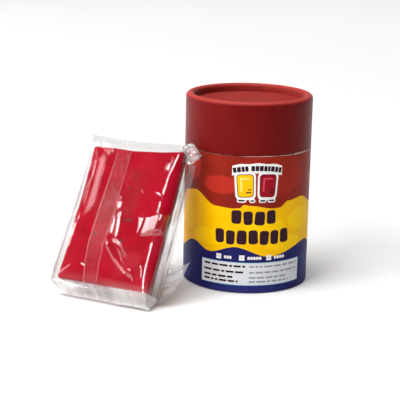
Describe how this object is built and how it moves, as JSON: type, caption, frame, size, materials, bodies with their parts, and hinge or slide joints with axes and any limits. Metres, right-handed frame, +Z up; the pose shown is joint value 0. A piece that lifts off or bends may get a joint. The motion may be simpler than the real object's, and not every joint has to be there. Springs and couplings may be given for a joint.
{
  "type": "clay bar",
  "caption": "Detailing clay bar in a clear film pouch, leaning on its round paper storage canister with a lift-off lid.",
  "frame": {"origin": "centre of the whole object's footprint box, on the plane it stands on", "axes": "+Z up along the canister; +Y from the front of the display to its back; the pouch leans on the canister's -X side"},
  "size_m": [0.1448, 0.1132, 0.108],
  "materials": {
    "printed_label": "satin",
    "maroon_paper": "satin",
    "tube_board": "matte",
    "lining_paper": "matte",
    "clay": "satin",
    "clear_film": "gloss"
  },
  "bodies": {
    "canister": {"body_label": "printed_label", "body_tube": "tube_board", "neck_tube": "tube_board", "neck_lining": "lining_paper", "base_disc": "tube_board", "base_lining": "lining_paper"},
    "lid": {"lid_wrap": "maroon_paper", "lid_tube": "tube_board", "lid_cup": "tube_board", "lid_face": "maroon_paper"},
    "bar_pack": {"clay_bar": "clay", "film_sleeve": "clear_film", "film_fin_seal": "clear_film", "film_top_seal": "clear_film", "film_bottom_seal": "clear_film"}
  },
  "joints": [
    {"name": "lid_lift", "type": "slide", "parent": "canister", "child": "lid", "axis": [0, 0, 1], "range_m": [0, 0.05]},
    {"name": "pack_lift", "type": "slide", "parent": "canister", "child": "bar_pack", "axis": [0, 0, 1], "range_m": [0, 0.12]}
  ]
}
